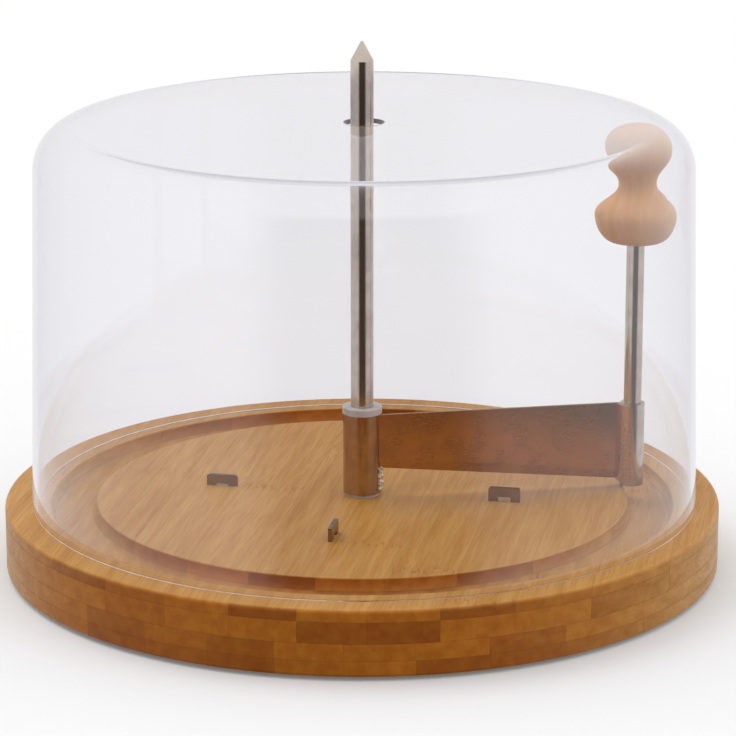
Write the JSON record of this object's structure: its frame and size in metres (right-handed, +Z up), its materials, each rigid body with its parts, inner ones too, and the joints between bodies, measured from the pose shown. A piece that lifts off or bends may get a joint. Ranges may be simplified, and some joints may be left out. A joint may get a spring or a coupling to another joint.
{
  "type": "cheese curler",
  "caption": "Round laminated wooden board with a pointed steel spindle, a scraper arm with a turned wooden knob that turns about it, and a clear domed cover.",
  "frame": {"origin": "on the table, under the spindle axis, at the underside of the feet", "axes": "+Z up along the spindle; seen from the front, +X is to the right and +Y is away from the viewer; at rest the arm lies about six degrees from +X towards +Y"},
  "size_m": [0.2202, 0.2202, 0.1622],
  "materials": {
    "bamboo": "oiled laminated bamboo",
    "beech": "turned and waxed",
    "steel": "polished stainless steel",
    "bush": "pale acetal",
    "rubber": "matt",
    "clear": "clear moulded plastic"
  },
  "bodies": {
    "base": {"base_board": "bamboo", "anchor_1": "steel", "anchor_2": "steel", "anchor_3": "steel", "anchor_4": "steel", "foot_1": "rubber", "foot_2": "rubber", "foot_3": "rubber", "foot_4": "rubber", "spindle": "steel", "spindle_washer": "steel", "spindle_screw": "steel"},
    "bushes": {"hub_bush_top": "bush", "hub_bush_base": "bush"},
    "arm": {"hub_sleeve": "steel", "scraper_blade": "steel", "handle_sleeve": "steel"},
    "handle": {"handle_rod": "steel", "rod_clip": "steel", "knob": "beech"},
    "cover_body": {"cover": "clear"}
  },
  "joints": [
    {"name": "cover_lift", "type": "slide", "parent": "base", "child": "cover_body", "axis": [0, 0, 1], "range_m": [0, 0.25]},
    {"name": "arm_lift", "type": "slide", "parent": "base", "child": "bushes", "axis": [0, 0, 1], "range_m": [0, 0.15]},
    {"name": "arm_spin", "type": "hinge", "parent": "bushes", "child": "arm", "pos_m": [0, 0, 0.034], "axis": [0, 0, 1], "continuous": true},
    {"name": "handle_spin", "type": "hinge", "parent": "arm", "child": "handle", "pos_m": [0.0841, 0.00914, 0.034], "axis": [0, 0, 1], "continuous": true}
  ],
  "couplings": [
    {"joint": "arm_lift", "follows": "cover_lift", "ratio": 0.6}
  ]
}
